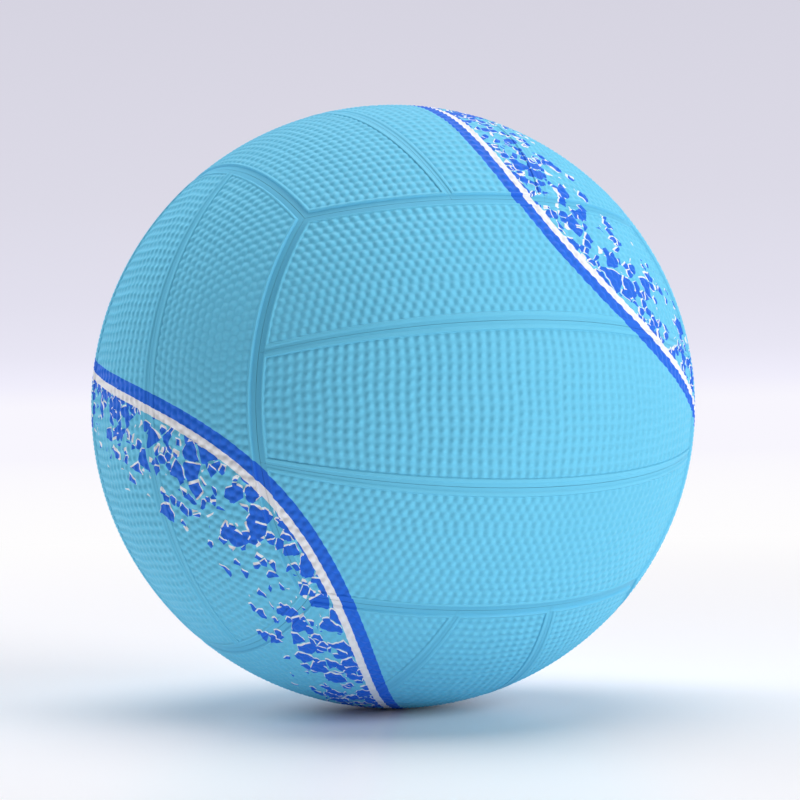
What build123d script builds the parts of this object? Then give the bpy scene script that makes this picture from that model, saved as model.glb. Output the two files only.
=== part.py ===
from build123d import *
from math import acos, cos, degrees, radians, sin, sqrt
import os

os.makedirs("parts", exist_ok=True)

# Layers of the ball, in millimetres, from the cover inwards
ball_diameter = 222.8
cover_thickness = 1.6
carcass_thickness = 0.4
winding_thickness = 0.3
bladder_thickness = 0.6
glue_line = 0.15

# Seams of the cover: the gap between panels, and the moulded grooves beside it
seam_gap = 0.2
edge_groove_width = 4.2
edge_groove_depth = 0.8
strip_groove_width = 3.2
strip_groove_depth = 0.35

# Panel layout, in degrees: a face's middle strip lies between two planes through the centre,
# and its outer edge is cut on a plane that leans out as far as the neighbouring strips reach
strip_seam_angle = 14.6
edge_seam_lean = 16.0

# Valve core, a straight soft plug with a round head and the needle's bore
core_stem_diameter = 5.0
core_stem_length = 16.0
core_stem_chamfer = 0.6
core_head_diameter = 7.4
core_head_thickness = 1.5
core_clearance = 0.05
needle_bore_diameter = 2.0
needle_bore_depth = 12.0
needle_lead_in = 0.3

# Valve seat: a neck through the cover, a flange under the bladder and a boss inside
neck_wall = 1.6
neck_sink = 0.4
flange_diameter = 32.0
flange_thickness = 1.2
boss_wall = 4.0
boss_length = 18.0

# Radii of the layers
ball_radius = ball_diameter / 2
cover_inside = ball_radius - cover_thickness
carcass_outside = cover_inside - glue_line
carcass_inside = carcass_outside - carcass_thickness
winding_outside = carcass_inside - glue_line
winding_inside = winding_outside - winding_thickness
bladder_outside = winding_inside - glue_line
bladder_inside = bladder_outside - bladder_thickness

# The three edges that meet at a corner of the layout meet on the corner's own axis
lean = radians(edge_seam_lean)
edge_plane_distance = ball_radius * (cos(lean) - sin(lean)) / sqrt(3)

# A face's blank reaches, in degrees, halfway from the ends of its strips to the poles it is turned on
strip_reach = degrees(acos(edge_plane_distance / ball_radius)) - edge_seam_lean
face_reach = (strip_reach + 90) / 2

# A cutting shape reaches past what it cuts by the cover's thickness
cut_reach = cover_thickness

# Valve sizes along its axis, measured from the ball's centre
core_stem_radius = core_stem_diameter / 2
core_head_radius = core_head_diameter / 2
neck_radius = core_head_radius + core_clearance + neck_wall
boss_radius = core_stem_radius + core_clearance + boss_wall
neck_top = ball_radius - neck_sink
head_seat = neck_top - core_head_thickness
flange_outside = bladder_inside - glue_line
flange_inside = flange_outside - flange_thickness
boss_end = flange_inside - boss_length
neck_hole_radius = neck_radius + glue_line

# Each face: the way it looks out, the way its strips run, and the names of its strips from the
# first side to the last
faces = {
    "front": ((0, -1, 0), (1, 0, 0), ("upper", "middle", "lower")),
    "back": ((0, 1, 0), (-1, 0, 0), ("upper", "middle", "lower")),
    "left": ((-1, 0, 0), (0, 0, 1), ("back", "middle", "front")),
    "right": ((1, 0, 0), (0, 0, 1), ("front", "middle", "back")),
    "top": ((0, 0, 1), (0, 1, 0), ("left", "middle", "right")),
    "bottom": ((0, 0, -1), (0, 1, 0), ("right", "middle", "left")),
}
valve_panel = "back_middle_panel"
valve_place = Plane(origin=(0, 0, 0), x_dir=(1, 0, 0), z_dir=(0, 1, 0)).location


def face_shell(outside, inside):
    """Piece of a hollow ball about +Z, larger than a face of the layout"""
    low, high = 90 - face_reach, 90 + face_reach
    profile = [CenterArc((0, 0), radius, low, high - low) for radius in (outside, inside)]
    for angle in (low, high):
        start = (inside * cos(radians(angle)), inside * sin(radians(angle)))
        profile.append(PolarLine(start, outside - inside, angle))
    ring = Plane.XZ * make_face(profile)
    return Rot(-face_reach, 0, 0) * revolve(ring, axis=Axis.X, revolution_arc=2 * face_reach)


def seam_plane(normal, distance):
    """Plane square to a normal, that far from the ball's centre"""
    away = Vector(*normal).normalized()
    return Plane(origin=away * distance, z_dir=away)


def cut_panel(strip_seams, edge_seams):
    """One panel of the cover, with its outside towards +Z and its length along X"""
    panel = face_shell(ball_radius, cover_inside)
    for normal, distance in strip_seams + edge_seams:
        border = seam_plane(normal, distance - seam_gap / 2)
        panel = split(panel, bisect_by=border, keep=Keep.BOTTOM)
    grooves = (
        (strip_seams, strip_groove_width, strip_groove_depth),
        (edge_seams, edge_groove_width, edge_groove_depth),
    )
    for seams, width, depth in grooves:
        groove_ring = face_shell(ball_radius + cut_reach, ball_radius - depth)
        for normal, distance in seams:
            groove_side = seam_plane(normal, distance - width / 2)
            panel -= split(groove_ring, bisect_by=groove_side, keep=Keep.TOP)
    return panel


def post(radius, bottom, top):
    """Round post on the valve's axis, between two heights above the ball's centre"""
    return Pos(0, 0, bottom) * Cylinder(radius, top - bottom, align=(Align.CENTER, Align.CENTER, Align.MIN))


def layer(outside, inside):
    """One closed inner layer of the ball, with the hole that the valve's neck fills"""
    neck_hole = post(neck_hole_radius, inside - cut_reach, outside + cut_reach)
    return Sphere(outside) - Sphere(inside) - valve_place * neck_hole


def write(name, piece):
    """One file for each piece"""
    piece.label = name
    export_step(piece, f"parts/{name}.step")


# Seams of the strips, as normals that point out of the panel and distances from the centre
strip = radians(strip_seam_angle)
first_strip_seam = ((0, cos(strip), -sin(strip)), 0)
last_strip_seam = ((0, -cos(strip), -sin(strip)), 0)
below_first_strip_seam = ((0, -cos(strip), sin(strip)), 0)
long_edge = ((0, cos(lean), -sin(lean)), edge_plane_distance)
strip_ends = [((side * sin(lean), 0, -cos(lean)), -edge_plane_distance) for side in (1, -1)]

middle_panel = cut_panel([first_strip_seam, last_strip_seam], strip_ends)
outer_panel = cut_panel([below_first_strip_seam], [long_edge, *strip_ends])
half_turn = Rot(0, 0, 180)

# The cover
for face, (outward, along, strip_names) in faces.items():
    place = Plane(origin=(0, 0, 0), x_dir=along, z_dir=outward).location
    for strip_name, panel in zip(strip_names, (outer_panel, middle_panel, half_turn * outer_panel)):
        name = f"{face}_{strip_name}_panel"
        piece = place * panel
        if name == valve_panel:
            piece -= valve_place * post(neck_hole_radius, cover_inside - cut_reach, ball_radius + cut_reach)
        write(name, piece)

# The layers under it
write("carcass", layer(carcass_outside, carcass_inside))
write("winding", layer(winding_outside, winding_inside))
write("bladder", layer(bladder_outside, bladder_inside))

# The valve seat, bored right through so that air reaches the bladder
flange_ball = Sphere(flange_outside) - Sphere(flange_inside)
flange = flange_ball & post(flange_diameter / 2, boss_end, flange_outside)
flange_middle = (flange_outside + flange_inside) / 2
neck = post(neck_radius, flange_middle - cut_reach, neck_top)
boss = post(boss_radius, boss_end, flange_middle)
stem_bore = post(core_stem_radius + core_clearance, boss_end - cut_reach, neck_top + cut_reach)
head_recess = post(core_head_radius + core_clearance, head_seat - core_clearance, neck_top + cut_reach)
write("valve_seat", valve_place * (flange + neck + boss - stem_bore - head_recess))

# The valve core, with its head let into the neck
stem_end = head_seat - core_stem_length
stem = post(core_stem_radius, stem_end, head_seat)
stem = chamfer(stem.edges().sort_by(Axis.Z)[0], core_stem_chamfer)
head = post(core_head_radius, head_seat, neck_top)
needle_bore = post(needle_bore_diameter / 2, neck_top - needle_bore_depth, neck_top + cut_reach)
core = stem + head - needle_bore
mouth = core.edges().filter_by(GeomType.CIRCLE).group_by(Axis.Z)[-1].sort_by(SortBy.RADIUS)[0]
core = chamfer(mouth, needle_lead_in)
write("valve_core", valve_place * core)

print("stem end", round(stem_end, 3), "boss end", round(boss_end, 3), "neck top", round(neck_top, 3))
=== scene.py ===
# %% [markdown]
# A netball, dressed for its portrait
#
# The ball is a hollow stack: a butyl bladder, a thread winding, a cloth carcass and, outside, eighteen
# pebbled rubber panels laid three to a face on six faces, with a small valve at the back. The solid
# model gives the sizes and the places. This lesson sets up the camera and the light first, so that each
# step can be judged, and then gives the ball its surface: the grip pebbles, the moulded seams, the print
# and the valve.

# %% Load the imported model
import math

import bpy
import numpy as np
from mathutils import Matrix, Quaternion, Vector


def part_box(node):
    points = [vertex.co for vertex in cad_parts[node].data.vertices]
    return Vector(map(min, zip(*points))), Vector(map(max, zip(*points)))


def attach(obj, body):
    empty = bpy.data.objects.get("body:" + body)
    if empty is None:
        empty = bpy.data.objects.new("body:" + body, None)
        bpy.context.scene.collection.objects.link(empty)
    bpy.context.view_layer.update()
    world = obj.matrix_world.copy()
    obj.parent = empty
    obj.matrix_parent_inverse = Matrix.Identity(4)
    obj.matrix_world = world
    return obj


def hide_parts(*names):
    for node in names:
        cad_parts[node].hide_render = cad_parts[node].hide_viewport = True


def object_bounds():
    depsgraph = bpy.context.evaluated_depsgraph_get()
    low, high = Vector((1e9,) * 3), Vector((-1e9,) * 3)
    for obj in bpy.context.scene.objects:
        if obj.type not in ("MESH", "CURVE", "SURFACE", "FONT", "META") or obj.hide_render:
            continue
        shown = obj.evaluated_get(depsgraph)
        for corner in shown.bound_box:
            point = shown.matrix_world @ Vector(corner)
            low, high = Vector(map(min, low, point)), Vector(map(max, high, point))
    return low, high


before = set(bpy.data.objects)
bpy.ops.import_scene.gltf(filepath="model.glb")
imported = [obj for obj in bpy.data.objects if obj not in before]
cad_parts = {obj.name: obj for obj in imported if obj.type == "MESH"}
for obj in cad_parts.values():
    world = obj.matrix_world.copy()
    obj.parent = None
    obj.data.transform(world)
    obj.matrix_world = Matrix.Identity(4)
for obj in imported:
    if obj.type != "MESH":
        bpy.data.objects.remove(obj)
cad_low, cad_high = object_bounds()
mm = 0.001
ball_radius = (cad_high[2] - cad_low[2]) / 2
print("ball radius", round(ball_radius / mm, 2), "mm, nodes", len(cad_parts))

# %% [markdown]
# Small tools that every finish needs
#
# Colours are given as sRGB hex values, while the shaders work in linear light, so one function turns the
# first into the second. Node materials are long when each link is written out, so another adds a node
# together with its settings and what feeds it.

# %% Colour and node tools
def paint(hex_code):
    """Linear colour of an sRGB hex value, by the standard's own curve"""
    shares = [int(hex_code[start:start + 2], 16) / 255 for start in (1, 3, 5)]
    linear = [s / 12.92 if s <= 0.04045 else ((s + 0.055) / 1.055) ** 2.4 for s in shares]
    return (*linear, 1.0)


def add_node(tree, kind, inputs=None, **settings):
    """One node with its settings; an input is a plain value, or the output that feeds it"""
    node = tree.nodes.new(kind)
    for field, value in settings.items():
        setattr(node, field, value)
    for socket, value in (inputs or {}).items():
        if isinstance(value, bpy.types.NodeSocket):
            tree.links.new(value, node.inputs[socket])
        else:
            node.inputs[socket].default_value = value
    return node


def new_material(name):
    """An empty node material, its tree and its output node"""
    material = bpy.data.materials.new(name)
    material.use_nodes = True
    material.node_tree.nodes.clear()
    return material, material.node_tree, add_node(material.node_tree, "ShaderNodeOutputMaterial")


print("tools ready")

# %% [markdown]
# The camera
#
# The picture was taken with a long lens, level with the middle of the ball and a little to the left of
# its front face. A long lens keeps the ball's outline a circle. The camera could be moved about by hand,
# but two angles and a distance are easier to correct. It is aimed a touch up and to the right of the
# ball's centre, because the ball doesn't sit quite in the middle of the frame.

# %% Place the camera
# In pixels of the picture: its side, the place of the ball's centre and the focal length
picture_side = 800
ball_in_picture = Vector((393.2, 406.5))
focal_in_pixels = 2581.85
# In millimetres
sensor_width = 36.0
# In metres from the ball's centre, turned left of its front face and up
camera_distance = 0.9585
camera_azimuth = math.radians(26.31)
camera_height_angle = math.radians(-0.14)
camera_roll = math.radians(-0.86)


def stand_at(azimuth, rise, distance):
    """Place at that distance from the ball's centre, turned left of its front face and up"""
    level = distance * math.cos(rise)
    return Vector((-math.sin(azimuth) * level, -math.cos(azimuth) * level, distance * math.sin(rise)))


eye = stand_at(camera_azimuth, camera_height_angle, camera_distance)
roll = Quaternion((0, 0, 1), camera_roll)
turn = (-eye).to_track_quat("-Z", "Y") @ roll
picture_middle = Vector((picture_side, picture_side)) / 2
metres_per_pixel = camera_distance / focal_in_pixels
off_centre = (picture_middle - ball_in_picture) * metres_per_pixel
aim = turn @ Vector((off_centre.x, -off_centre.y, 0))
turn = (aim - eye).to_track_quat("-Z", "Y") @ roll

bpy.ops.object.select_all(action="DESELECT")
bpy.ops.object.camera_add(location=eye, rotation=turn.to_euler())
camera = bpy.context.object
camera.data.sensor_width = sensor_width
camera.data.lens = focal_in_pixels / picture_side * sensor_width
bpy.context.scene.camera = camera
print("lens", round(camera.data.lens, 1), "mm at", [round(value, 4) for value in eye])

# %% [markdown]
# The floor and the backdrop
#
# The ball stands on a pale sweep: a near-white board, and behind it a wall that fades up to a lavender
# grey. A curved sheet would do it, but would show its edges from other sides, so the floor is one very
# large plane, and the wall is a gradient in the world, seen by the camera and by reflections alone.

# %% Lay the floor
floor_size = 120.0
bpy.ops.object.select_all(action="DESELECT")
bpy.ops.mesh.primitive_plane_add(size=floor_size, location=(0, 0, cad_low[2]))
floor = bpy.context.object
floor.name = "studio_floor"
print("floor at", round(floor.location.z / mm, 2), "mm")

# %% [markdown]
# The floor's paint
#
# Near the ball the floor is a painted board that takes its shadow. Further out it glows in the shade of
# the wall's foot, so that no line shows where the two meet. The light that it throws up at the ball is
# another matter: a white sweep under studio lamps is bright from close by, so for that light the glow
# starts nearer. A Light Path node tells the two apart.

# %% Tell sight from light
def seen_by_eye(tree):
    """1 for what the camera sees, also in gloss and glass, and 0 for light on its way to the ball"""
    path = add_node(tree, "ShaderNodeLightPath")
    seen = path.outputs["Is Camera Ray"]
    for ray in ("Is Glossy Ray", "Is Transmission Ray"):
        either = add_node(tree, "ShaderNodeMath", {0: seen, 1: path.outputs[ray]}, operation="MAXIMUM")
        seen = either.outputs[0]
    return seen


print("light path tool ready")

# %% Paint the floor
# Metres from the spot under the ball where the glow starts and is full, and where the wall's foot lies
seen_glow_from = 0.18
seen_glow_to = 1.3
wall_foot = 6.0
# The same for the light that is thrown up at the ball, and the glow's share in it
thrown_glow_from = 0.04
thrown_glow_to = 0.15
thrown_glow_share = 0.75
near_colour = "#FEFDFE"
horizon_colour = "#F8F6FE"

# Painted board, silk: it shows the ball's soft blue shadow and, at a low angle, a blurred reflection
floor_paint, tree, output = new_material("silk_painted_board")
board = add_node(tree, "ShaderNodeBsdfPrincipled", {
    "Base Color": paint("#FDFDFF"), "Diffuse Roughness": 0.5, "Roughness": 0.36, "IOR": 1.5})
place = add_node(tree, "ShaderNodeTexCoord").outputs["Object"]
away = add_node(tree, "ShaderNodeVectorMath", {0: place}, operation="LENGTH").outputs["Value"]
seen_glow = add_node(tree, "ShaderNodeMapRange", {
    "Value": away, "From Min": seen_glow_from, "From Max": seen_glow_to}, interpolation_type="SMOOTHSTEP")
thrown_glow = add_node(tree, "ShaderNodeMapRange", {
    "Value": away, "From Min": thrown_glow_from, "From Max": thrown_glow_to, "To Max": thrown_glow_share})
glow = add_node(tree, "ShaderNodeMix", {
    "Factor": seen_by_eye(tree),
    "A": thrown_glow.outputs["Result"],
    "B": seen_glow.outputs["Result"]}, data_type="FLOAT")
toward_wall = add_node(tree, "ShaderNodeMapRange", {
    "Value": away, "From Min": seen_glow_to, "From Max": wall_foot})
shade = add_node(tree, "ShaderNodeMix", {
    "Factor": toward_wall.outputs["Result"],
    "A": paint(near_colour),
    "B": paint(horizon_colour)}, data_type="RGBA")
haze = add_node(tree, "ShaderNodeEmission", {"Color": shade.outputs["Result"], "Strength": 1.0})
surface = add_node(tree, "ShaderNodeMixShader", {
    "Fac": glow.outputs["Result"], 1: board.outputs["BSDF"], 2: haze.outputs["Emission"]})
tree.links.new(surface.outputs[0], output.inputs["Surface"])
floor.data.materials.append(floor_paint)
print("floor painted in", len(tree.nodes), "nodes")

# %% [markdown]
# The wall and the room
#
# The wall that the eye sees is a ramp of shades over the height of the line of sight. What lights the ball
# is a plain white room instead, brightest behind the ball and dark behind the camera, as a studio is.

# %% Hang the backdrop in the world
# Height of the line of sight, as a share of its length, and the wall's shade there
backdrop_shades = (
    (0.0050, horizon_colour),
    (0.0127, "#F0EEFC"),
    (0.0244, "#E8E6F4"),
    (0.0437, "#E2E0EE"),
    (0.0824, "#DCDAE7"),
    (0.1600, "#D6D4E1"),
)
# The room's light straight behind the ball, and how far towards the camera it has gone dark
room_behind = 0.3
room_dark_from = -0.65

world = bpy.data.worlds.new("studio")
bpy.context.scene.world = world
world.use_nodes = True
tree = world.node_tree
tree.nodes.clear()
way = add_node(tree, "ShaderNodeTexCoord").outputs["Generated"]
height = add_node(tree, "ShaderNodeSeparateXYZ", {"Vector": way})
wall = add_node(tree, "ShaderNodeValToRGB", {"Fac": height.outputs["Z"]})
shades = wall.color_ramp.elements
while len(shades) < len(backdrop_shades):
    shades.new(1.0)
for shade, (rise, colour) in zip(shades, backdrop_shades):
    shade.position = rise
    shade.color = paint(colour)
wall_glow = add_node(tree, "ShaderNodeBackground", {"Color": wall.outputs["Color"], "Strength": 1.0})
look = -stand_at(camera_azimuth, 0, 1)
behind = add_node(tree, "ShaderNodeVectorMath", {0: way, 1: look}, operation="DOT_PRODUCT")
room = add_node(tree, "ShaderNodeMapRange", {
    "Value": behind.outputs["Value"], "From Min": room_dark_from, "To Max": room_behind})
room_glow = add_node(tree, "ShaderNodeBackground", {
    "Color": paint("#FFFFFF"), "Strength": room.outputs["Result"]})
either = add_node(tree, "ShaderNodeMixShader", {
    "Fac": seen_by_eye(tree), 1: room_glow.outputs[0], 2: wall_glow.outputs[0]})
output = add_node(tree, "ShaderNodeOutputWorld", {"Surface": either.outputs[0]})
print("backdrop of", len(shades), "shades")

# %% [markdown]
# The lamps
#
# The pebbles read because light comes across them. One large soft box stands low to the right of the
# camera. Another, higher up on the left and behind the ball, keeps that side from going flat. A wide soft
# light overhead lays the shadow under the ball. A single lamp would be simpler, but would leave half of
# the ball dark. Together with the room they keep to a level at which a colour shows about as written.

# %% Set up the soft boxes
# Degrees to the right of the camera's line and up, then distance and size in metres, and watts
soft_boxes = {
    "soft_box_right": (58, 18, 1.5, 0.9, 12.3),
    "soft_box_left": (-121, 28, 1.6, 0.8, 10.2),
}
# Colours are shown as the light makes them, with no film curve over them
bpy.context.scene.view_settings.view_transform = "Standard"
bpy.ops.object.select_all(action="DESELECT")
for name, (bearing, rise, distance, size, watts) in soft_boxes.items():
    place = stand_at(camera_azimuth - math.radians(bearing), math.radians(rise), distance)
    aim = (-place).to_track_quat("-Z", "Y")
    bpy.ops.object.light_add(type="AREA", location=place, rotation=aim.to_euler())
    lamp = bpy.context.object
    lamp.name = name
    lamp.data.size = size
    lamp.data.energy = watts
    lamp.visible_camera = False
    # Only the one on the right shows in the rubber's sheen
    lamp.visible_glossy = bearing > 0
    print(name, [round(value, 2) for value in place])

# %% Hang the overhead light
sky_tilt = math.radians(9)
sky_spread = math.radians(51)
sky_strength = 2.1
overhead = look * math.sin(sky_tilt)
overhead.z = math.cos(sky_tilt)
bpy.ops.object.light_add(type="SUN", rotation=overhead.to_track_quat("Z", "Y").to_euler())
lamp = bpy.context.object
lamp.name = "soft_sky"
lamp.data.angle = sky_spread
lamp.data.energy = sky_strength
print("overhead light from", [round(value, 2) for value in overhead])

# %% [markdown]
# How the cover is laid out
#
# Six faces, three strips each, turned so that each face's strips meet its neighbours' ends. The seams
# between strips are cut by planes through the ball's centre. The seams between faces lie on planes that
# lean out by a fixed angle and pass through the corner points, where three faces meet. Two angles on
# the ball name any place on a face: along its strips and across them. With them a seam is one formula,
# and so is the distance to it over the surface.

# %% Seams as formulas
strip_seam_angle = math.radians(14.6)
edge_seam_lean = math.radians(16.0)
edge_share = (math.cos(edge_seam_lean) - math.sin(edge_seam_lean)) / math.sqrt(3)
# Half the hairline that is left between two panels
half_gap = 0.06 * mm


def strip_end(across, inset):
    """Angle along a strip where it ends, a little inside the edge seam"""
    plane = math.sin(math.asin(edge_share) + inset / ball_radius)
    rise = np.cos(across) * math.cos(edge_seam_lean)
    lean = math.sin(edge_seam_lean)
    return np.arccos(plane / np.hypot(rise, lean)) - np.arctan2(lean, rise)


def long_edge(along, inset):
    """Angle across a face where its outer strip ends, a little inside the edge seam"""
    plane = math.sin(math.asin(edge_share) - inset / ball_radius)
    return edge_seam_lean + np.arcsin(plane / np.cos(along))


def directions(along, across):
    """Unit vectors from the ball's centre, with the face towards +Z and its strips along X"""
    return np.stack([
        np.sin(along),
        np.cos(along) * np.sin(across),
        np.cos(along) * np.cos(across),
    ], axis=-1)


def seam_distances(along, across):
    """Distances to the nearest strip seam, which narrows with the strip, and to the nearest edge seam"""
    x, y, z = np.abs(directions(along, across)).T
    edge = math.asin(edge_share)
    to_strip = np.abs(np.abs(across) - strip_seam_angle)
    to_end = np.arcsin(z * math.cos(edge_seam_lean) - x * math.sin(edge_seam_lean)) - edge
    to_long = edge - np.arcsin(y * math.cos(edge_seam_lean) - z * math.sin(edge_seam_lean))
    return to_strip * ball_radius, np.minimum(to_end, to_long) * ball_radius


print("middle strip", round(2 * ball_radius * float(strip_end(0.0, half_gap)) / mm, 1), "mm long")

# %% [markdown]
# The grip
#
# A moulded netball is covered in low pebbles. On an outer strip each is a dome of its own, and on a middle
# strip they run softly into one another. They could be a bump in the finish alone, but then the outline
# would be smooth, so they are modelled. A dip is worked out for each point: how far the rubber falls from
# a pebble's crest towards the valley beside it. The finish later uses the same dip to strengthen them.

# %% The shape of a pebble
pebble_height = 0.45 * mm
# Reach of a dome in its cell, and how much less a step across the strip counts, so it is longer there
dome_reach = 0.6
dome_squeeze = 0.86
# How full the saddles between soft pebbles are, and their valleys' depth against that of the domes'
saddle_fill = 0.75
middle_depth = 1.1


def round_pebbles(along_cells, across_cells):
    """Dip round a dome in each cell, a little longer across the strip: 0 on its crest, 1 beside it"""
    from_middle = np.hypot(along_cells % 1 - 0.5, dome_squeeze * (across_cells % 1 - 0.5))
    return 0.5 - 0.5 * np.cos(math.pi * np.clip(from_middle / dome_reach, 0, 1))


def between(cells):
    """1 on the line between two cells, easing to 0 in the middle of each"""
    return 0.5 + 0.5 * np.cos(2 * math.pi * cells)


def soft_pebbles(along_cells, across_cells, next_across_cells):
    """Dip round pebbles that run into one another, level with the next column's at its border"""
    between_columns = between(along_cells)
    own_rows = between(across_cells)
    next_rows = between(next_across_cells)
    between_rows = own_rows + between_columns * (next_rows - own_rows) / 2
    dip = between_columns + between_rows - saddle_fill * between_columns * between_rows
    return middle_depth * dip / (2 - saddle_fill)


print("pebbles", pebble_height / mm, "mm high")

# %% [markdown]
# Where the pebbles stand
#
# On the photograph they stand in whole numbers: each column across a middle strip is filled from seam to
# seam, and so is each row along an outer strip, so the rows follow the seams and slip half a step where a
# pebble drops out. Spacing them by whole numbers gives just that, with no drawn pattern to stretch.

# %% Drift of the columns
pebble_step = 3.5 * mm
# Width of the drift in cells, its pace along a column, and how it changes from column to column
wander_width = 0.08
wander_pace = 0.9
wander_change = 1.3
wander_change_pace = 0.4


def wander(along, across):
    """Slow sideways drift of the columns, in cells, as a hand-cut mould has"""
    rows = across * ball_radius / pebble_step
    columns = along * ball_radius / pebble_step
    return wander_width * np.sin(rows * wander_pace + wander_change * np.sin(columns * wander_change_pace))


print("pebbles every", round(pebble_step / mm, 2), "mm")

# %% Columns of a middle strip
# Smooth rubber beside each kind of seam, before the pebbles start
strip_margin = 2.95 * mm
edge_margin = 2.9 * mm


def middle_pebbles(along, across):
    """Columns from strip seam to strip seam, each with a whole number of pebbles"""
    reach = float(strip_end(0.0, edge_margin))
    columns = round(2 * reach * ball_radius / pebble_step)
    column_place = (along / strip_end(across, edge_margin) + 1) / 2 * columns + wander(along, across)
    half = strip_seam_angle - strip_margin / ball_radius
    column = np.floor(column_place)
    next_column = column + np.where(column_place % 1 > 0.5, 1, -1)
    row_places = []
    for number in (column, next_column):
        column_middle = (2 * (number + 0.5) / columns - 1) * reach
        count = np.round(2 * half * np.cos(column_middle) * ball_radius / pebble_step)
        row_places.append((across / half + 1) / 2 * count)
    return soft_pebbles(column_place, *row_places)


print("smooth beside the seams for", round(strip_margin / mm, 2), "mm")

# %% Rows of an outer strip
outer_row_step = 3.08 * mm
# Angles that are tried in order to find a row's end
longest_half_row = math.radians(60)
row_samples = 1500


def outer_pebbles(along, across):
    """Rows from end to end of the strip, each with a whole number of pebbles"""
    low = strip_seam_angle + strip_margin / ball_radius
    high = long_edge(along, edge_margin)
    width = (float(long_edge(0.0, edge_margin)) - strip_seam_angle) * ball_radius
    rows = round(width / outer_row_step - 1)
    row_place = (across - low) / (high - low) * rows
    row = np.clip(np.floor(row_place), 0, rows - 1).astype(int)
    tries = np.linspace(0, longest_half_row, row_samples)
    half_row = []
    for number in range(rows):
        share = (number + 0.5) / rows
        try_across = low + share * (long_edge(tries, edge_margin) - low)
        half_row.append(tries[np.argmax(tries > strip_end(try_across, edge_margin))])
    half_row = np.array(half_row)
    count = np.round(2 * half_row * ball_radius / pebble_step)
    return round_pebbles((along / half_row[row] + 1) / 2 * count[row], row_place)


print("rows every", round(outer_row_step / mm, 2), "mm")

# %% [markdown]
# The seams
#
# The two kinds of seam look different. Between strips there is a hairline with a shallow trough, and
# between faces a flat-bottomed channel with rounded shoulders. Beside both the rubber is smooth for a
# few millimetres before the pebbles start, at the height of their crests. Bevels along each seam would be
# slow to keep even, while one smooth step over the distance from the seam gives all of them.

# %% Seam and valve profiles
# Depth of each groove, and how far from the seam its floor ends and its shoulder is at full height
edge_groove_depth = 0.8 * mm
edge_groove_floor = 1.95 * mm
edge_groove_shoulder = 2.4 * mm
strip_groove_depth = 0.35 * mm
strip_groove_floor = 1.35 * mm
strip_groove_shoulder = 1.8 * mm
# Where the pebbles start: a flat rim, and the slope behind it
rim_width = 0.1 * mm
rim_slope = 0.55 * mm
# The smooth disc round the valve, its hole, and the rounded edge of that hole
valve_disc_radius = 8.6 * mm
valve_hole_radius = 5.5 * mm
valve_shoulder = 0.9 * mm
valve_sink = 0.4 * mm


def ease(value, start, end):
    """Smooth step from 0 at the start to 1 at the end"""
    share = np.clip((value - start) / (end - start), 0, 1)
    return share * share * (3 - 2 * share)


def surface_relief(along, across, pebble_dip, with_valve):
    """Depth of the grooves alone, depth of the whole surface, and the pebbles' dip"""
    to_strip, to_edge = seam_distances(along, across)
    edge_groove = edge_groove_depth * (1 - ease(to_edge, edge_groove_floor, edge_groove_shoulder))
    strip_groove = strip_groove_depth * (1 - ease(to_strip, strip_groove_floor, strip_groove_shoulder))
    field = ease(np.minimum(to_strip - strip_margin, to_edge - edge_margin), -rim_width, rim_slope)
    groove = np.maximum(edge_groove, strip_groove)
    if with_valve:
        from_valve = ball_radius * np.arccos(np.clip(directions(along, across)[:, 2], -1, 1))
        field *= ease(from_valve, valve_disc_radius - rim_width, valve_disc_radius + rim_slope)
        turn_down = np.clip((valve_hole_radius + valve_shoulder - from_valve) / valve_shoulder, 0, 1)
        groove = groove + valve_sink * (1 - np.sqrt(1 - turn_down ** 2))
    dip = field * pebble_dip
    return groove, groove + pebble_height * dip, dip


print("channel", edge_groove_depth / mm, "mm deep, trough", strip_groove_depth / mm, "mm deep")

# %% [markdown]
# A flat blank for each kind of strip
#
# The real panels are cut from sheet and moulded on the ball, so the model starts the same way. A fine
# flat grid is the outside and a coarse one, turned over, is the inside. The coarse one's border is cut
# up to match the fine one's, and the two borders are bridged, which leaves one closed sheet with its
# faces where they are needed.

# %% Cut the flat blanks
# Fine cells on one side of a coarse one, and how far the two sheets are apart while they are flat
coarse_cell = 8
sheet_gap = 1.0
# Fine cells along and across each kind of strip
middle_cells = (416, 136)
outer_cells = (408, 112)


def flat_blank(name, cells_along, cells_across):
    """Closed flat sheet two units wide: fine on top, coarse below"""
    bpy.ops.object.select_all(action="DESELECT")
    bpy.ops.mesh.primitive_grid_add(
        x_subdivisions=cells_along // coarse_cell, y_subdivisions=cells_across // coarse_cell,
        size=2, location=(0, 0, -sheet_gap))
    bpy.ops.object.mode_set(mode="EDIT")
    bpy.ops.mesh.select_all(action="SELECT")
    bpy.ops.mesh.flip_normals()
    bpy.ops.mesh.region_to_loop()
    bpy.ops.mesh.subdivide(number_cuts=coarse_cell - 1, ngon=True)
    bpy.ops.object.mode_set(mode="OBJECT")
    inside = bpy.context.object
    bpy.ops.mesh.primitive_grid_add(x_subdivisions=cells_along, y_subdivisions=cells_across, size=2)
    blank = bpy.context.object
    blank.name = name
    inside.select_set(True)
    bpy.ops.object.join()
    bpy.ops.object.mode_set(mode="EDIT")
    bpy.ops.mesh.select_mode(type="EDGE")
    bpy.ops.mesh.select_all(action="DESELECT")
    bpy.ops.mesh.select_non_manifold()
    bpy.ops.mesh.bridge_edge_loops()
    bpy.ops.object.mode_set(mode="OBJECT")
    print(name, len(blank.data.vertices), "points", len(blank.data.polygons), "faces")
    return blank


middle_blank = flat_blank("middle_strip", *middle_cells)
valve_blank = flat_blank("valve_strip", *middle_cells)
outer_blank = flat_blank("outer_strip", *outer_cells)

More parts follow.
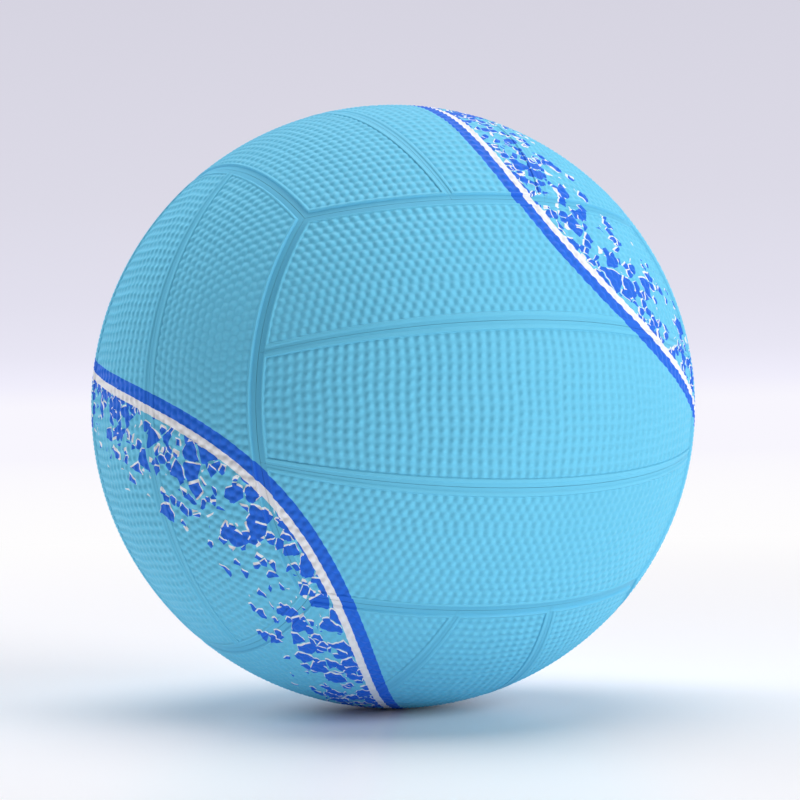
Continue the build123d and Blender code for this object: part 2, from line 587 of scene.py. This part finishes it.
# %% Cut the valve strip finer where the valve comes through
# Half the patch, as shares of half the strip that make it about as wide as it is long
fine_patch_along = 0.1
fine_patch_across = fine_patch_along * middle_cells[0] / middle_cells[1]
fine_cuts = 2
bpy.ops.object.select_all(action="DESELECT")
valve_blank.select_set(True)
bpy.context.view_layer.objects.active = valve_blank
bpy.ops.object.mode_set(mode="EDIT")
bpy.ops.mesh.select_mode(type="FACE")
bpy.ops.mesh.select_all(action="DESELECT")
bpy.ops.object.mode_set(mode="OBJECT")
for face in valve_blank.data.polygons:
    outside = face.center.z > -sheet_gap / 2
    near = abs(face.center.x) < fine_patch_along and abs(face.center.y) < fine_patch_across
    face.select = outside and near
bpy.ops.object.mode_set(mode="EDIT")
bpy.ops.mesh.subdivide(number_cuts=fine_cuts)
bpy.ops.object.mode_set(mode="OBJECT")
print("valve strip", len(valve_blank.data.polygons), "faces")

# %% [markdown]
# Places on the ball
#
# Each point of the flat sheet has a share along the strip and a share across it, and the shares become
# the two angles. An even spread would leave the seam's shoulders jagged, so the rows of points stand
# closer together near the border.

# %% From shares to angles
border_cells = 15
border_width = 3.6 * mm
# Rounds in which an outer strip's length and width settle
settle_rounds = 30


def closer_at_border(share, cells, half_length):
    """Grid shares from -1 to 1, moved so that the border rows fit the border's width"""
    kept = 1 - 2 * border_cells / cells
    field = 1 - border_width / half_length
    inner = share / kept * field
    outer = np.sign(share) * (field + (np.abs(share) - kept) / (1 - kept) * (1 - field))
    return np.where(np.abs(share) < kept, inner, outer)


def middle_place(share_along, share_across):
    """Angles of the points of a middle strip"""
    across_limit = strip_seam_angle - half_gap / ball_radius
    half_length = float(strip_end(0.0, half_gap)) * ball_radius
    across = closer_at_border(share_across, middle_cells[1], across_limit * ball_radius) * across_limit
    along = closer_at_border(share_along, middle_cells[0], half_length) * strip_end(across, half_gap)
    return along, across


def outer_place(share_along, share_across):
    """Angles of the points of an outer strip, whose length and width depend on each other"""
    start = strip_seam_angle + half_gap / ball_radius
    half_width = (float(long_edge(0.0, half_gap)) - start) / 2 * ball_radius
    half_length = float(strip_end(start, half_gap)) * ball_radius
    width_share = (closer_at_border(share_across, outer_cells[1], half_width) + 1) / 2
    length_share = closer_at_border(share_along, outer_cells[0], half_length)
    across = np.full_like(share_along, start)
    for _ in range(settle_rounds):
        along = length_share * strip_end(across, half_gap)
        across = start + width_share * (long_edge(along, half_gap) - start)
    return along, across


print("border rows", round(border_width / border_cells / mm, 2), "mm apart")

# %% [markdown]
# Wrapping the blanks
#
# The angles give each point a direction, and the profiles and pebbles give it a radius. A modifier with a
# height map would need a picture, and the formulas are already there, so the points are moved by them.
# Each keeps the depth of its groove and its dip as attributes, which the finish reads later.

# %% Wrap the blanks on the ball
cover_thickness = 1.6 * mm
panel_crease = math.radians(50)


def wrap(blank, place, pebbles, with_valve=False):
    """Moves the points of a flat blank onto the ball, and keeps their grooves and dips for the finish"""
    flat = np.empty(len(blank.data.vertices) * 3)
    blank.data.vertices.foreach_get("co", flat)
    share_along, share_across, layer = flat.reshape(-1, 3).T
    along, across = place(share_along, share_across)
    groove, depth, dip = surface_relief(along, across, pebbles(along, across), with_valve)
    outside = layer > -sheet_gap / 2
    radius = ball_radius - np.where(outside, depth, cover_thickness)
    points = directions(along, across) * radius[:, None]
    blank.data.vertices.foreach_set("co", points.ravel())
    for name, values in (("groove", groove / edge_groove_depth), ("dip", dip)):
        kept = blank.data.attributes.new(name, "FLOAT", "POINT")
        kept.data.foreach_set("value", np.where(outside, values, 1.0))
    bpy.ops.object.select_all(action="DESELECT")
    blank.select_set(True)
    bpy.context.view_layer.objects.active = blank
    bpy.ops.object.mode_set(mode="EDIT")
    bpy.ops.mesh.select_all(action="SELECT")
    bpy.ops.mesh.normals_make_consistent(inside=False)
    bpy.ops.object.mode_set(mode="OBJECT")
    bpy.ops.object.shade_smooth_by_angle(angle=panel_crease)
    print(blank.name, "relief to", round(depth.max() / mm, 2), "mm deep")


wrap(middle_blank, middle_place, middle_pebbles)
wrap(valve_blank, middle_place, middle_pebbles, with_valve=True)
wrap(outer_blank, outer_place, outer_pebbles)

# %% [markdown]
# The valve's hole
#
# One middle strip, at the back, lets the valve through. The hole is a plain round cut, so a cylinder
# and a boolean make it, in the strip that already has its smooth round pad.

# %% Bore the valve strip
drill_sides = 128
drill_length = 8 * cover_thickness
bpy.ops.object.select_all(action="DESELECT")
bpy.ops.mesh.primitive_cylinder_add(
    vertices=drill_sides, radius=valve_hole_radius, depth=drill_length, location=(0, 0, ball_radius))
drill = bpy.context.object
bpy.context.view_layer.objects.active = valve_blank
bore = valve_blank.modifiers.new("bore", "BOOLEAN")
bore.operation = "DIFFERENCE"
bore.solver = "EXACT"
bore.object = drill
bpy.ops.object.modifier_apply(modifier=bore.name)
bpy.ops.object.select_all(action="DESELECT")
drill.select_set(True)
bpy.ops.object.delete()
print("bored", len(valve_blank.data.polygons), "faces")

# %% [markdown]
# The print
#
# The print is ink on top of the rubber. One ribbon winds round the whole ball, as the seam of a tennis
# ball does: a blue line, a white line, and chips of blue on a white under-print set a little off, which
# thin out away from the lines. Drawn on each panel by itself, it would break at the seams. A formula on
# the ball gives such a curve, and dividing it by its slope gives the distance from the curve, so the print
# runs on over the seams from panel to panel.

# %% Distance from the ribbon
# The ribbon borders a dumbbell on the ball: the way to its waist, the way in which it is long, how far
# it is bent in, and how much it is drawn in all round
ribbon_waist = Vector((-0.33, -0.94, 0.12)).normalized()
ribbon_length = Vector((-0.66, -0.09, 0.75))
ribbon_bend = 3.4
ribbon_shift = 0.2
# The ribbon's width on the far side, as a share of that at the waist
ribbon_thinnest = 0.55
# Where the formula is nearly flat, it is divided by this slope instead of its own
least_slope = 0.1

lengthwise = (ribbon_length - ribbon_length.dot(ribbon_waist) * ribbon_waist).normalized()
sideways = lengthwise.cross(ribbon_waist)
ribbon_axes = np.array([
    (lengthwise - sideways) / math.sqrt(2),
    (lengthwise + sideways) / math.sqrt(2),
    -ribbon_waist,
])


def from_ribbon(points):
    """Signed distance of points from the ribbon, stretched where it is thinner than at the waist"""
    x, y, z = ribbon_axes @ (points / np.linalg.norm(points, axis=1)[:, None]).T
    bend = ribbon_bend * x * y
    slope_squared = 1 + ribbon_bend ** 2 * (1 - z ** 2) - (z - 2 * bend) ** 2
    slope = np.sqrt(np.maximum(slope_squared, least_slope ** 2))
    swell = 1 - (1 - ribbon_thinnest) * (z + 1) / 2
    return ball_radius * (z - bend + ribbon_shift) / slope / swell


print("ribbon round the ball, bent", ribbon_bend)

# %% [markdown]
# The cover's rubber
#
# Moulded rubber is a satin skin: soft wide highlights, a fine dull grain, and a painted shade that darkens
# the colour in the seams. One material holds the rubber and its ink, because both have the same skin. Plain
# paint would look like plastic, so slow clouds vary the colour and the gloss a little.

# %% Lines of the print
white_line = 3.2 * mm
blue_line = 5.0 * mm

# Moulded rubber, satin and printed: a soft sheen on each pebble, and crisp flat ink
cover_rubber, tree, output = new_material("moulded_rubber_satin_printed")
place = add_node(tree, "ShaderNodeTexCoord").outputs["Object"]
ribbon = add_node(tree, "ShaderNodeAttribute", attribute_name="ribbon").outputs["Fac"]
white_ink = add_node(tree, "ShaderNodeMath", {
    0: ribbon, 1: white_line / 2, 2: white_line / 2}, operation="COMPARE").outputs[0]
blue_ink = add_node(tree, "ShaderNodeMath", {
    0: ribbon, 1: -blue_line / 2, 2: blue_line / 2}, operation="COMPARE").outputs[0]
print("lines drawn in", len(tree.nodes), "nodes")

# %% Chips of the print
chips_reach = 46 * mm
# Size of the chips, and the share of them that is printed beside the lines
chip_sizes = ((6.4 * mm, 0.62), (3.2 * mm, 0.55))
# Bare rubber left round a chip, as a share of its cell
chip_gap = 0.07
under_print_shift = 0.5 * mm

way = add_node(tree, "ShaderNodeVectorMath", {0: place}, operation="NORMALIZE").outputs["Vector"]
beyond_lines = add_node(tree, "ShaderNodeMath", {
    0: ribbon, 1: white_line}, operation="GREATER_THAN").outputs[0]
crowding = add_node(tree, "ShaderNodeMapRange", {
    "Value": ribbon, "From Max": chips_reach, "To Min": 1.0, "To Max": 0.0}).outputs["Result"]
crowding = add_node(tree, "ShaderNodeMath", {0: crowding, 1: beyond_lines}, operation="MULTIPLY").outputs[0]
for size, share in chip_sizes:
    limit = add_node(tree, "ShaderNodeMath", {0: crowding, 1: share}, operation="MULTIPLY").outputs[0]
    inks = []
    for shift in (0, under_print_shift / ball_radius):
        moved = add_node(tree, "ShaderNodeVectorMath", {0: way, 1: (shift, shift, -shift)}, operation="ADD")
        pattern = {"Vector": moved.outputs["Vector"], "Scale": ball_radius / size}
        cells = add_node(tree, "ShaderNodeTexVoronoi", pattern)
        edges = add_node(tree, "ShaderNodeTexVoronoi", pattern, feature="DISTANCE_TO_EDGE")
        lot = add_node(tree, "ShaderNodeSeparateColor", {"Color": cells.outputs["Color"]})
        picked = add_node(tree, "ShaderNodeMath", {0: lot.outputs["Red"], 1: limit}, operation="LESS_THAN")
        inside = add_node(tree, "ShaderNodeMath", {
            0: edges.outputs["Distance"], 1: chip_gap}, operation="GREATER_THAN")
        inks.append(add_node(tree, "ShaderNodeMath", {
            0: picked.outputs[0], 1: inside.outputs[0]}, operation="MULTIPLY").outputs[0])
    blue_ink = add_node(tree, "ShaderNodeMath", {0: blue_ink, 1: inks[0]}, operation="MAXIMUM").outputs[0]
    white_ink = add_node(tree, "ShaderNodeMath", {0: white_ink, 1: inks[1]}, operation="MAXIMUM").outputs[0]
print("print drawn in", len(tree.nodes), "nodes")

# %% Colours of the cover
cloud_size = 22 * mm
# Share of painted shade at the bottom of the deepest seam
painted_seam_shade = 0.28
depth = add_node(tree, "ShaderNodeAttribute", attribute_name="groove").outputs["Fac"]
clouds = add_node(tree, "ShaderNodeTexNoise", {"Vector": place, "Scale": 1 / cloud_size, "Detail": 3.0})
skin = add_node(tree, "ShaderNodeMix", {
    "Factor": clouds.outputs["Fac"], "A": paint("#6DCCEF"), "B": paint("#73D1F4")}, data_type="RGBA")
# Painted shade: the skin darkens towards a deeper blue with the depth of the grooves, for the shade in the
# seams
painted_seam_shade_mix = add_node(tree, "ShaderNodeMapRange", {"Value": depth, "To Max": painted_seam_shade})
skin = add_node(tree, "ShaderNodeMix", {
    "Factor": painted_seam_shade_mix.outputs["Result"], "A": skin.outputs["Result"], "B": paint("#4AA6CE")}, data_type="RGBA")
skin = add_node(tree, "ShaderNodeMix", {
    "Factor": white_ink, "A": skin.outputs["Result"], "B": paint("#F8F8FC")}, data_type="RGBA")
skin = add_node(tree, "ShaderNodeMix", {
    "Factor": blue_ink, "A": skin.outputs["Result"], "B": paint("#2470E8")}, data_type="RGBA")
print("cover coloured in", len(tree.nodes), "nodes")

# %% Gloss and grain of the cover
# The real grain is about 0.1 mm, too fine to show, so it is drawn as coarse as it needs to be
grain_size = 0.45 * mm
grain_height = 0.1 * mm
grain_strength = 0.12
# A bump over the pebbles' own dip, which strengthens the shading of the modelled pebbles
pebble_swell = 0.35 * mm
least_roughness = 0.5
most_roughness = 0.6
grain = add_node(tree, "ShaderNodeTexNoise", {"Vector": place, "Scale": 1 / grain_size, "Detail": 2.0})
gloss = add_node(tree, "ShaderNodeMapRange", {
    "Value": clouds.outputs["Fac"], "To Min": least_roughness, "To Max": most_roughness})
dip = add_node(tree, "ShaderNodeAttribute", attribute_name="dip").outputs["Fac"]
swell = add_node(tree, "ShaderNodeBump", {
    "Height": dip, "Strength": 1.0, "Distance": pebble_swell}, invert=True)
tooth = add_node(tree, "ShaderNodeBump", {
    "Height": grain.outputs["Fac"], "Strength": grain_strength, "Distance": grain_height,
    "Normal": swell.outputs["Normal"]})
rubber = add_node(tree, "ShaderNodeBsdfPrincipled", {
    "Base Color": skin.outputs["Result"], "Roughness": gloss.outputs["Result"], "IOR": 1.5,
    "Specular IOR Level": 0.2, "Normal": tooth.outputs["Normal"]})
tree.links.new(rubber.outputs["BSDF"], output.inputs["Surface"])
print("cover rubber", len(tree.nodes), "nodes")

# %% [markdown]
# Laying the eighteen panels
#
# Each face has a direction that it looks out and a direction that its strips run. The outer strip is
# laid once as it is and once turned half round. Every panel is a copy with its own mesh, turned into
# place and then applied, so that its object stays at the origin. Linked copies would be lighter, but each
# panel has its own stretch of the ribbon.

# %% Lay one panel
def lay_panel(blank, node, face_turn):
    """Copy of a wrapped blank on its face, standing for that panel of the solid model"""
    bpy.ops.object.select_all(action="DESELECT")
    blank.select_set(True)
    bpy.context.view_layer.objects.active = blank
    bpy.ops.object.duplicate()
    panel = bpy.context.object
    panel.name = node.replace("panel", "pebbled_cover")
    panel.matrix_world = face_turn
    bpy.ops.object.transform_apply(location=True, rotation=True, scale=True)
    points = np.empty(len(panel.data.vertices) * 3)
    panel.data.vertices.foreach_get("co", points)
    ribbon = panel.data.attributes.new("ribbon", "FLOAT", "POINT")
    ribbon.data.foreach_set("value", from_ribbon(points.reshape(-1, 3)))
    panel.data.materials.clear()
    panel.data.materials.append(cover_rubber)
    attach(panel, "ball")
    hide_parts(node)


print("panel tool ready")

# %% Lay the panels
faces = {
    "front": ((0, -1, 0), (1, 0, 0), ("upper", "middle", "lower")),
    "back": ((0, 1, 0), (-1, 0, 0), ("upper", "middle", "lower")),
    "left": ((-1, 0, 0), (0, 0, 1), ("back", "middle", "front")),
    "right": ((1, 0, 0), (0, 0, 1), ("front", "middle", "back")),
    "top": ((0, 0, 1), (0, 1, 0), ("left", "middle", "right")),
    "bottom": ((0, 0, -1), (0, 1, 0), ("right", "middle", "left")),
}
half_turn = Matrix.Rotation(math.pi, 4, "Z")

for face, (outward, along, strip_names) in faces.items():
    outward, along = Vector(outward), Vector(along)
    face_turn = Matrix((along, outward.cross(along), outward)).transposed().to_4x4()
    kinds = ((outer_blank, face_turn), (middle_blank, face_turn), (outer_blank, face_turn @ half_turn))
    for strip_name, (blank, turned) in zip(strip_names, kinds):
        if (face, strip_name) == ("back", "middle"):
            blank = valve_blank
        lay_panel(blank, f"{face}_{strip_name}_panel", turned)

bpy.ops.object.select_all(action="DESELECT")
for blank in (middle_blank, valve_blank, outer_blank):
    blank.select_set(True)
bpy.ops.object.delete()
print("panels laid on", len(faces), "faces")

# %% [markdown]
# The valve
#
# At the back a rubber neck comes through the cover, with a soft plug in it that takes the pump's needle.
# Stacked cylinders would need cutting and joining. Both pieces are round about the same axis, so each is
# turned instead: half its section is drawn by extruding one point from corner to corner, and spun about
# the axis. A bevel then rounds the moulded edges.

# %% A turned piece
turning_steps = 96
weld_distance = 0.001 * mm
rounding_steps = 3
sharp_corner = math.radians(40)
valve_crease = math.radians(35)


def turned_piece(name, section, edge_radius):
    """Piece spun about the valve's axis from half its section: radii and distances from the centre"""
    bpy.ops.object.select_all(action="DESELECT")
    bpy.ops.mesh.primitive_plane_add(size=1.0)
    piece = bpy.context.object
    piece.name = name
    bpy.ops.object.mode_set(mode="EDIT")
    bpy.ops.mesh.select_mode(type="VERT")
    bpy.ops.mesh.select_all(action="SELECT")
    bpy.ops.mesh.merge(type="CENTER")
    bpy.ops.transform.translate(value=(*section[0], 0))
    for (radius, height), (next_radius, next_height) in zip(section, section[1:]):
        step = (next_radius - radius, next_height - height, 0)
        bpy.ops.mesh.extrude_region_move(TRANSFORM_OT_translate={"value": step})
    bpy.ops.mesh.select_all(action="SELECT")
    bpy.ops.mesh.spin(steps=turning_steps, angle=2 * math.pi, center=(0, 0, 0), axis=(0, 1, 0))
    bpy.ops.mesh.select_all(action="SELECT")
    bpy.ops.mesh.remove_doubles(threshold=weld_distance)
    bpy.ops.mesh.normals_make_consistent(inside=False)
    bpy.ops.object.mode_set(mode="OBJECT")
    rounding = piece.modifiers.new("rounding", "BEVEL")
    rounding.width = edge_radius
    rounding.segments = rounding_steps
    rounding.limit_method = "ANGLE"
    rounding.angle_limit = sharp_corner
    bpy.ops.object.modifier_apply(modifier=rounding.name)
    bpy.ops.object.shade_smooth_by_angle(angle=valve_crease)
    print(name, len(piece.data.polygons), "faces")
    return piece


# %% Turn the valve core
core_low, core_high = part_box("valve_core")
head_radius, neck_top = core_high.x, core_high.y
stem_radius = 2.5 * mm
stem_chamfer = 0.6 * mm
head_thickness = 1.5 * mm
needle_radius = 1.0 * mm
needle_depth = 12 * mm
lead_in = 0.3 * mm
head_dish = 0.2 * mm
plug_edge_radius = 0.2 * mm
head_seat = neck_top - head_thickness

core_section = [
    (0, core_low.y),
    (stem_radius - stem_chamfer, core_low.y),
    (stem_radius, core_low.y + stem_chamfer),
    (stem_radius, head_seat),
    (head_radius, head_seat),
    (head_radius, neck_top),
    (needle_radius + lead_in, neck_top - head_dish),
    (needle_radius, neck_top - head_dish - lead_in),
    (needle_radius, neck_top - needle_depth),
    (0, neck_top - needle_depth),
]
valve_plug = turned_piece("valve_plug", core_section, plug_edge_radius)
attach(valve_plug, "core")
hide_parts("valve_core")

# %% Turn the valve seat
seat_low, seat_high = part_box("valve_seat")
flange_radius, boss_end = seat_high.x, seat_low.y
core_clearance = 0.05 * mm
neck_radius = 5.35 * mm
boss_radius = 6.55 * mm
flange_outside = 107.9 * mm
flange_inside = 106.7 * mm
flange_points = 7
collar_edge_radius = 0.25 * mm
bore_radius = stem_radius + core_clearance
recess_radius = head_radius + core_clearance
recess_floor = head_seat - core_clearance


def on_sphere(sphere_radius, start, end):
    """Points of a section that follow a sphere about the ball's centre, from one radius to another"""
    radii = np.linspace(start, end, flange_points)
    return [(radius, math.sqrt(sphere_radius ** 2 - radius ** 2)) for radius in radii]


seat_section = [
    (bore_radius, boss_end),
    (boss_radius, boss_end),
    *on_sphere(flange_inside, boss_radius, flange_radius),
    *on_sphere(flange_outside, flange_radius, neck_radius),
    (neck_radius, neck_top),
    (recess_radius, neck_top),
    (recess_radius, recess_floor),
    (bore_radius, recess_floor),
    (bore_radius, boss_end),
]
valve_collar = turned_piece("valve_collar", seat_section, collar_edge_radius)
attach(valve_collar, "ball")
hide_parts("valve_seat")

# %% [markdown]
# Rubber for the valve
#
# The neck is moulded in the cover's colour, a shade deeper, and the plug is black and soft. Both carry the
# faint mottle of a mould and a fine grain, which only show close by. One function makes both, because they
# differ in colour and gloss alone.

# %% Valve rubbers
mottle_size = 3 * mm
# The real grain is finer still, and is drawn as coarse as it needs to be to show close by
tooth_size = 0.3 * mm
tooth_height = 0.05 * mm
tooth_strength = 0.15
gloss_change = 0.06


def valve_rubber(name, dark, light, roughness):
    """Moulded rubber, mottled between two colours: a dull skin with a soft highlight"""
    material, tree, output = new_material(name)
    place = add_node(tree, "ShaderNodeTexCoord").outputs["Object"]
    mottle = add_node(tree, "ShaderNodeTexNoise", {
        "Vector": place, "Scale": 1 / mottle_size, "Detail": 3.0}).outputs["Fac"]
    skin = add_node(tree, "ShaderNodeMix", {
        "Factor": mottle, "A": paint(dark), "B": paint(light)}, data_type="RGBA")
    gloss = add_node(tree, "ShaderNodeMapRange", {
        "Value": mottle, "To Min": roughness - gloss_change, "To Max": roughness + gloss_change})
    grain = add_node(tree, "ShaderNodeTexNoise", {"Vector": place, "Scale": 1 / tooth_size, "Detail": 2.0})
    tooth = add_node(tree, "ShaderNodeBump", {
        "Height": grain.outputs["Fac"], "Strength": tooth_strength, "Distance": tooth_height})
    rubber = add_node(tree, "ShaderNodeBsdfPrincipled", {
        "Base Color": skin.outputs["Result"], "Roughness": gloss.outputs["Result"], "IOR": 1.5,
        "Specular IOR Level": 0.3, "Normal": tooth.outputs["Normal"]})
    tree.links.new(rubber.outputs["BSDF"], output.inputs["Surface"])
    print(name, len(tree.nodes), "nodes")
    return material


valve_collar.data.materials.append(valve_rubber("moulded_rubber_collar", "#4FA6CE", "#5FB6DE", 0.55))
valve_plug.data.materials.append(valve_rubber("soft_gum_rubber_plug", "#161618", "#232326", 0.5))

# %% [markdown]
# The layers under the cover
#
# Nobody sees them unless the ball is cut open, but they are real pieces and they get real finishes: cloth
# soaked in latex, nylon thread wound every way round, and smooth black butyl. The solid model's shapes are
# right for them as they are. Threads are drawn as waves, which repeat every 2 pi / 20 at a scale of 1.

# %% Finishes of the hidden layers
wave_period = 2 * math.pi / 20
# Real threads are about 0.3 mm apart, and these are drawn as coarse as they need to be to show
cloth_thread = 1.2 * mm
nylon_thread = 0.9 * mm
# The turns at which the threads lie, in radians
cloth_ways = ((0.0, 0.0, 0.0), (0.0, math.pi / 2, 0.0))
nylon_ways = ((0.0, 0.0, 0.0), (0.7, 1.1, 0.3), (1.9, 0.4, 1.2))
thread_waver = 0.6
layer_relief = 0.2 * mm
layer_relief_strength = 0.5
layer_gloss_change = 0.08


def layer_finish(name, thread, ways, dark, light, roughness):
    """Threads that run several ways, one over the other; with no thread, a smooth moulded skin"""
    material, tree, output = new_material(name)
    place = add_node(tree, "ShaderNodeTexCoord").outputs["Object"]
    clouds = add_node(tree, "ShaderNodeTexNoise", {
        "Vector": place, "Scale": 1 / cloud_size, "Detail": 4.0}).outputs["Fac"]
    height = clouds
    for turn in ways:
        turned = add_node(tree, "ShaderNodeMapping", {"Vector": place, "Rotation": turn})
        threads = add_node(tree, "ShaderNodeTexWave", {
            "Vector": turned.outputs["Vector"], "Scale": wave_period / thread, "Distortion": thread_waver})
        over = add_node(tree, "ShaderNodeMath", {0: height, 1: threads.outputs["Fac"]}, operation="MAXIMUM")
        height = over.outputs[0]
    skin = add_node(tree, "ShaderNodeMix", {
        "Factor": height, "A": paint(dark), "B": paint(light)}, data_type="RGBA")
    relief = add_node(tree, "ShaderNodeBump", {
        "Height": height, "Strength": layer_relief_strength, "Distance": layer_relief})
    gloss = add_node(tree, "ShaderNodeMapRange", {
        "Value": clouds,
        "To Min": roughness - layer_gloss_change,
        "To Max": roughness + layer_gloss_change})
    surface = add_node(tree, "ShaderNodeBsdfPrincipled", {
        "Base Color": skin.outputs["Result"], "Roughness": gloss.outputs["Result"],
        "Normal": relief.outputs["Normal"]})
    tree.links.new(surface.outputs["BSDF"], output.inputs["Surface"])
    print(name, len(tree.nodes), "nodes")
    return material


# Cloth gives the eye a dull square weave, nylon a paler and silkier mesh, and butyl a plain black sheen
layers = {
    "carcass": layer_finish(
        "latex_soaked_woven_cloth", cloth_thread, cloth_ways, "#A59A83", "#E6E0D0", 0.8),
    "winding": layer_finish(
        "wound_nylon_thread", nylon_thread, nylon_ways, "#B9B49F", "#F1EFE6", 0.45),
    "bladder": layer_finish(
        "moulded_butyl_sheet", None, (), "#0E0E0F", "#1C1C1E", 0.5),
}
for node, finish in layers.items():
    for material_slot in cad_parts[node].material_slots:
        material_slot.material = finish
print("hidden layers finished:", ", ".join(layers))
